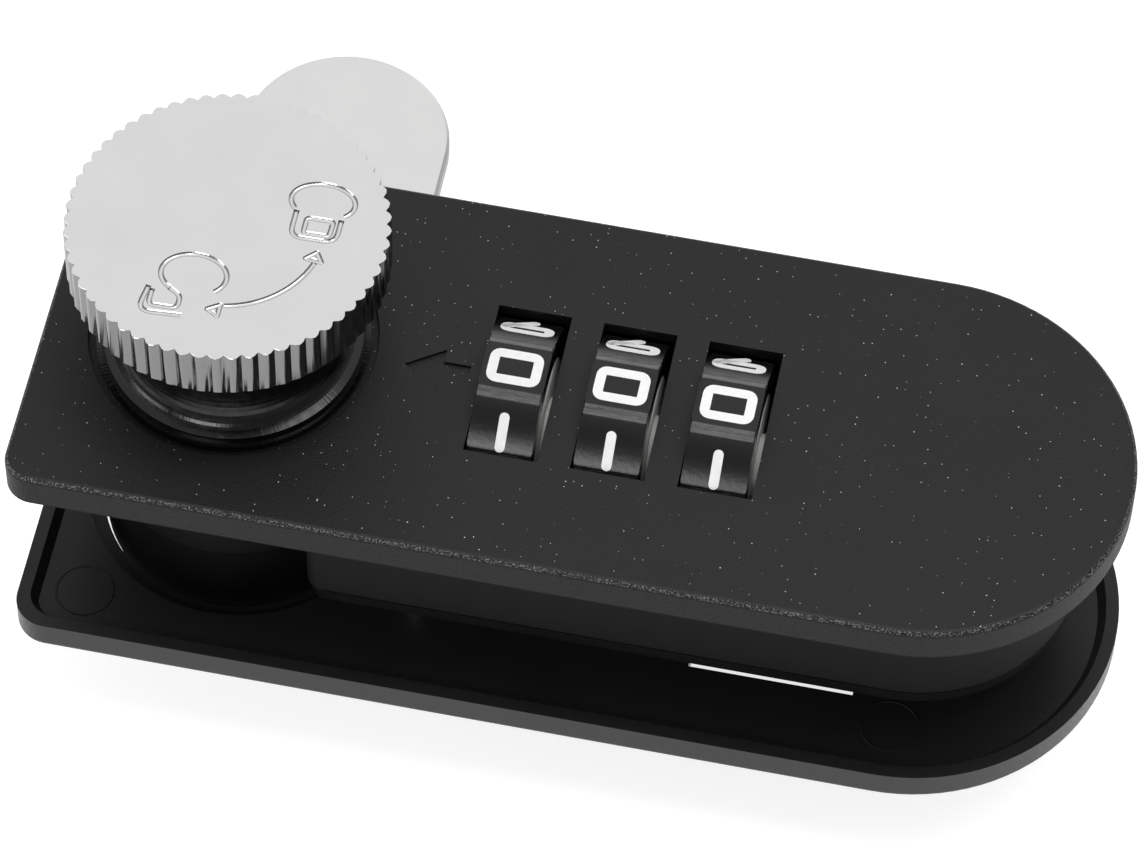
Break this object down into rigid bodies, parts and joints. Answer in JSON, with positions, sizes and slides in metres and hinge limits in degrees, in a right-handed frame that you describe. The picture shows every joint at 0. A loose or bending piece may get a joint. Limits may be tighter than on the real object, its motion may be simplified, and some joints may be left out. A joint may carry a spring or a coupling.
{
  "type": "combination locker lock",
  "caption": "Dial combination lock for a locker door: knurled turn knob, faceplate with number dials, rear tray and a turning cam.",
  "frame": {"origin": "on the knob's axis, in the plane of the door's front face (the underside of the faceplate)", "axes": "+Z out of the door towards the user, +X from the knob to the dials, +Y along the cam when locked"},
  "size_m": [0.0928, 0.0683, 0.047],
  "materials": {
    "black_moulding": "fine sand texture",
    "black_gloss": "glossy",
    "chrome": "bright plating",
    "nickel_plate": "satin nickel plating",
    "steel": "zinc plating",
    "dial_black": "semi-gloss, white figures",
    "white_acetal": "smooth",
    "slide_brass": "satin"
  },
  "bodies": {
    "housing": {"front_housing": "black_moulding", "rear_cover": "black_moulding", "rear_tray": "black_moulding", "detent_spring": "steel", "cover_screws": "steel", "tray_screws": "steel", "code_spring": "steel"},
    "knob": {"knob_cap": "chrome", "knob_base": "black_gloss", "knob_screw": "steel", "spindle": "steel", "cam": "nickel_plate", "cam_washer": "steel", "cam_screw": "steel"},
    "slide": {"locking_slide": "slide_brass"},
    "dial_1": {"dial_1": "dial_black"},
    "dial_2": {"dial_2": "dial_black"},
    "dial_3": {"dial_3": "dial_black"},
    "wheel_1": {"code_wheel_1": "white_acetal"},
    "wheel_2": {"code_wheel_2": "white_acetal"},
    "wheel_3": {"code_wheel_3": "white_acetal"},
    "code_shifter": {"dial_axle": "steel", "axle_clips": "steel", "code_slider": "black_moulding"}
  },
  "joints": [
    {"name": "knob_turn", "type": "hinge", "parent": "housing", "child": "knob", "pos_m": [0, 0, 0], "axis": [0, 0, -1], "range_deg": [-90, 0]},
    {"name": "slide_travel", "type": "slide", "parent": "housing", "child": "slide", "axis": [1, 0, 0], "range_m": [-0.002, 0]},
    {"name": "dial_1_turn", "type": "hinge", "parent": "housing", "child": "dial_1", "pos_m": [0.02425, 0, -0.00284], "axis": [1, 0, 0], "continuous": true},
    {"name": "dial_2_turn", "type": "hinge", "parent": "housing", "child": "dial_2", "pos_m": [0.03325, 0, -0.00284], "axis": [1, 0, 0], "continuous": true},
    {"name": "dial_3_turn", "type": "hinge", "parent": "housing", "child": "dial_3", "pos_m": [0.04225, 0, -0.00284], "axis": [1, 0, 0], "continuous": true},
    {"name": "code_shift", "type": "slide", "parent": "housing", "child": "code_shifter", "axis": [-1, 0, 0], "range_m": [0, 0.0013], "stiffness_N_per_m": 300, "springref_m": -0.001, "deforming": ["code_spring"]},
    {"name": "code_1_shift", "type": "slide", "parent": "dial_1", "child": "wheel_1", "axis": [-1, 0, 0], "range_m": [0, 0.0013]},
    {"name": "code_2_shift", "type": "slide", "parent": "dial_2", "child": "wheel_2", "axis": [-1, 0, 0], "range_m": [0, 0.0013]},
    {"name": "code_3_shift", "type": "slide", "parent": "dial_3", "child": "wheel_3", "axis": [-1, 0, 0], "range_m": [0, 0.0013]}
  ],
  "couplings": [
    {"joint": "slide_travel", "follows": "knob_turn", "m_per_rad": 0.0012732},
    {"joint": "code_1_shift", "follows": "code_shift", "ratio": 1},
    {"joint": "code_2_shift", "follows": "code_shift", "ratio": 1},
    {"joint": "code_3_shift", "follows": "code_shift", "ratio": 1}
  ]
}
